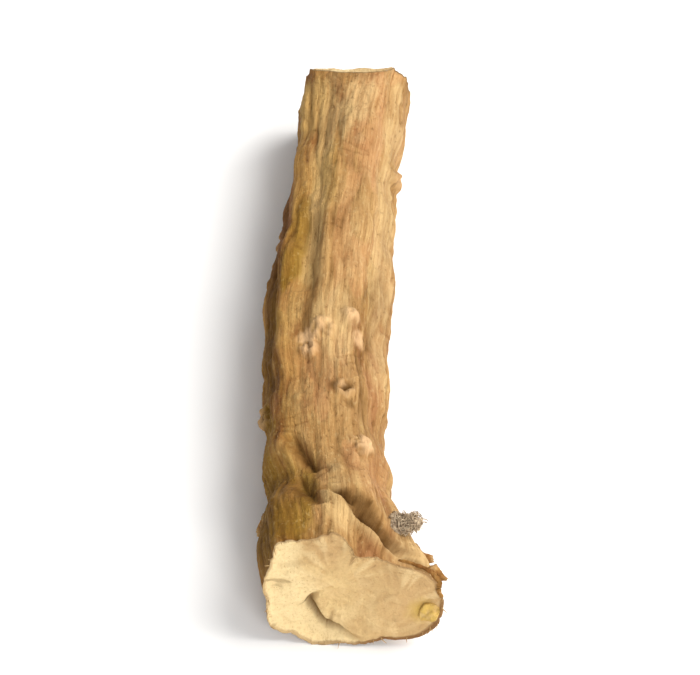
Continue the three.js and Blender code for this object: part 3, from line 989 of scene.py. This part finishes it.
# Dark of the furrows and specks, also the colour of the painted shade in the creases and dark patches
FURROW = (0.1, 0.042, 0.006)
# The tint of the painted shade on the left side
SHADED_TINT = (1.0, 0.93, 0.66)
STREAK_TINT = (0.62, 0.52, 0.42)
SCAR = (0.64, 0.405, 0.205)
WOOD = (0.70, 0.50, 0.235)
WOOD_RAY = (0.46, 0.28, 0.11)
WOOD_TAN = (0.53, 0.335, 0.15)
WOOD_CREAM = (0.84, 0.65, 0.35)
WOOD_OCHRE = (0.58, 0.38, 0.095)
WOOD_SPLIT = (0.20, 0.11, 0.035)
BARK_RING = (0.24, 0.12, 0.045)
HAIR_DARK = (0.24, 0.17, 0.11)
HAIR_GREY = (0.56, 0.445, 0.30)
BUMP_DEPTH = 0.00012


def bark_colour(n):
    """Mottled tan bark with streaks, specks, dark furrows and pale scars, and painted shade and
    highlight.
    """
    patch = n.spots(n.grain(1.3, 4.0), detail=4, bend=0.4)
    # Painted shade: on the left side the mottle shifts towards the dark red end of the ramp
    patch = n.maths("SUBTRACT", patch, n.between(n.mask("red"), 0, 1, 0, 0.14))
    bark = n.ramp(patch, [(0.34, BARK_RED), (0.46, BARK_TAN), (0.58, BARK_TAN), (0.7, BARK_LIGHT)])
    bark = n.mix(n.between(n.mask("tan"), 0, 1, 0, 0.75), bark, BARK_BLUSH)
    # Dust on rubbed ridges, and painted highlight where the lighter patches lie
    bark = n.mix(n.between(n.mask("proud"), 0.1, 0.9, 0, 0.6), bark, BARK_DUST)
    # Olive patches, in part painted shade on the left flank
    bark = n.mix(n.between(n.mask("ochre"), 0, 1, 0, 0.86), bark, BARK_OLIVE)
    streaks = n.spots(n.grain(0.12, 2.0), detail=4, rough=0.65)
    bark = n.mix(n.between(streaks, 0.42, 0.62, 0, 0.6), bark, STREAK_TINT, "MULTIPLY")
    specks = n.spots(n.grain(0.16, 0.3), detail=3, rough=0.6)
    bark = n.mix(n.between(specks, 0.6, 0.72, 0, 0.55), bark, FURROW)
    bark = n.mix(n.between(specks, 0.42, 0.3, 0, 0.35), bark, BARK_DUST)
    # Dark furrows, with the painted shade of the creases and dark patches
    bark = n.mix(n.between(n.mask("furrow"), 0.1, 1, 0, 0.92), bark, FURROW)
    # Painted shade: the left side of the bark is multiplied by the shaded tint
    bark = n.mix(n.between(n.mask("red"), 0, 0.45, 0, 0.88), bark, SHADED_TINT, "MULTIPLY")
    return n.mix(n.between(n.mask("pale"), 0.05, 0.9, 0, 0.9), bark, SCAR)


def wood_colour(n):
    """Cream to tan cut wood with rays and pores, a dark split and an ochre stain."""
    mottle = n.spots(n.grain(0.7, 0.7), detail=6, rough=0.65)
    wood = n.mix(n.between(mottle, 0.4, 0.65, 0, 0.6), WOOD, WOOD_TAN)
    wood = n.mix(n.between(n.mask("tan"), 0, 1, 0, 0.85), wood, WOOD_TAN)
    wood = n.mix(n.between(n.mask("pale"), 0.1, 0.9, 0, 0.9), wood, WOOD_CREAM)
    wood = n.mix(n.between(n.mask("proud"), 0, 1, 0, 0.4), wood, WOOD_CREAM)
    fuzz = n.spots(n.grain(0.12, 0.12), detail=4, rough=0.7)
    wood = n.mix(n.between(fuzz, 0.5, 0.7, 0, 0.4), wood, WOOD_RAY)
    pores = n.spots(n.grain(0.1, 0.1), detail=1)
    wood = n.mix(n.between(pores, 0.66, 0.74, 0, 0.6), wood, WOOD_RAY)
    wood = n.mix(n.between(n.mask("ochre"), 0.2, 0.8, 0, 0.95), wood, WOOD_OCHRE)
    wood = n.mix(n.between(n.mask("furrow"), 0.15, 1, 0, 0.92), wood, WOOD_SPLIT)
    return n.mix(n.mask("rim"), wood, BARK_RING)


def root_material():
    """Tan bark with darker furrows and pale scars, and cream to tan wood on the cuts."""
    n = Nodes("dried_root")
    colour = n.mix(n.mask("cut"), bark_colour(n), wood_colour(n))
    fibres = n.spots(n.grain(0.1, 1.5), detail=5, rough=0.7)
    grit = n.spots(n.grain(0.13, 0.16), detail=3, rough=0.6)
    height = n.maths("ADD", fibres, n.maths("MULTIPLY", grit, 0.6))
    bump = n.add("ShaderNodeBump", {"Strength": 0.8, "Distance": BUMP_DEPTH, "Height": height})
    inputs = {
        "Base Color": colour,
        "Roughness": n.between(grit, 0.3, 0.7, 0.7, 0.9),
        "Normal": bump,
        "Specular IOR Level": 0.15,
    }
    return n.finished(n.add("ShaderNodeBsdfPrincipled", inputs))


def hair_material():
    """Dull grey brown of the dried hair rootlets."""
    n = Nodes("dried_hair")
    colour = n.ramp(n.spots(n.grain(0.2, 0.2), detail=3), [(0.35, HAIR_DARK), (0.65, HAIR_GREY)])
    inputs = {"Base Color": colour, "Roughness": 0.85, "Specular IOR Level": 0.2}
    return n.finished(n.add("ShaderNodeBsdfPrincipled", inputs))


# Camera: its height in degrees, how far away it stands, the picture and the share it fills
CAMERA_ELEVATION = 47.0
CAMERA_AWAY = 0.6
FRAME_SIZE = (700, 675)
FILL_OF_FRAME = 0.92

# Lamps that look at the middle of the floor, in metres and watts, and the light all round
LAMPS = {
    "key": {"place": (0.17, 0.04, 0.2), "size": 0.22, "power": 1.05, "colour": (1.0, 0.98, 0.95)},
    "front": {"place": (0.06, -0.25, 0.13), "size": 0.15, "power": 0.55, "colour": (1.0, 0.99, 0.97)},
}
LIGHT_ALL_ROUND = 0.46
FLOOR_IN_LENGTHS = 60
FLOOR_COLOUR = (0.9, 0.9, 0.9, 1)


def floor():
    """The plain pale floor, which isn't part of the object."""
    size = FLOOR_IN_LENGTHS * LENGTH * MM
    corners = [(-size, -size, 0), (size, -size, 0), (size, size, 0), (-size, size, 0)]
    mesh = bpy.data.meshes.new("floor")
    mesh.from_pydata(corners, [], [(0, 1, 2, 3)])
    n = Nodes("pale_floor")
    shader = n.add("ShaderNodeBsdfPrincipled", {"Base Color": FLOOR_COLOUR, "Roughness": 0.85})
    mesh.materials.append(n.finished(shader))
    plane = bpy.data.objects.new("floor", mesh)
    bpy.context.scene.collection.objects.link(plane)


def area_light(name, place, size, power, colour):
    """A square lamp that looks at the origin."""
    data = bpy.data.lights.new(name, "AREA")
    data.size = size
    data.energy = power
    data.color = colour
    lamp = bpy.data.objects.new(name, data)
    lamp.location = place
    lamp.rotation_euler = (-Vector(place)).to_track_quat("-Z", "Y").to_euler()
    bpy.context.scene.collection.objects.link(lamp)


def lights():
    """Soft studio light: two lamps, and white light all round."""
    for name, lamp in LAMPS.items():
        area_light(name, **lamp)
    world = bpy.data.worlds.new("studio")
    world.use_nodes = True
    background = world.node_tree.nodes["Background"]
    background.inputs["Color"].default_value = (1, 1, 1, 1)
    background.inputs["Strength"].default_value = LIGHT_ALL_ROUND
    bpy.context.scene.world = world
    bpy.context.scene.view_settings.view_transform = "Standard"


def camera():
    """A camera with a long lens that looks along the root, down on the knotted cut."""
    rise = np.radians(CAMERA_ELEVATION)
    centre = (CAD_LOW + CAD_HIGH) / 2
    size = CAD_HIGH - CAD_LOW
    tall = size.y * np.sin(rise) + size.z * np.cos(rise)
    data = bpy.data.cameras.new("camera")
    data.sensor_fit = "HORIZONTAL"
    data.sensor_width = 36
    across = tall / FILL_OF_FRAME * FRAME_SIZE[0] / FRAME_SIZE[1]
    data.lens = data.sensor_width * CAMERA_AWAY / across
    data.clip_start = 0.005
    data.clip_end = 10
    eye = bpy.data.objects.new("camera", data)
    eye.location = centre + CAMERA_AWAY * Vector((0, -np.cos(rise), np.sin(rise)))
    eye.rotation_euler = (centre - eye.location).to_track_quat("-Z", "Y").to_euler()
    bpy.context.scene.collection.objects.link(eye)
    bpy.context.scene.camera = eye


camera()
lights()
floor()
dried_root = root_material()
root_piece(dried_root)
rootlet_stubs(dried_root)
cut_fibres(dried_root)
bark_sliver(dried_root)
grey_tuft(hair_material())
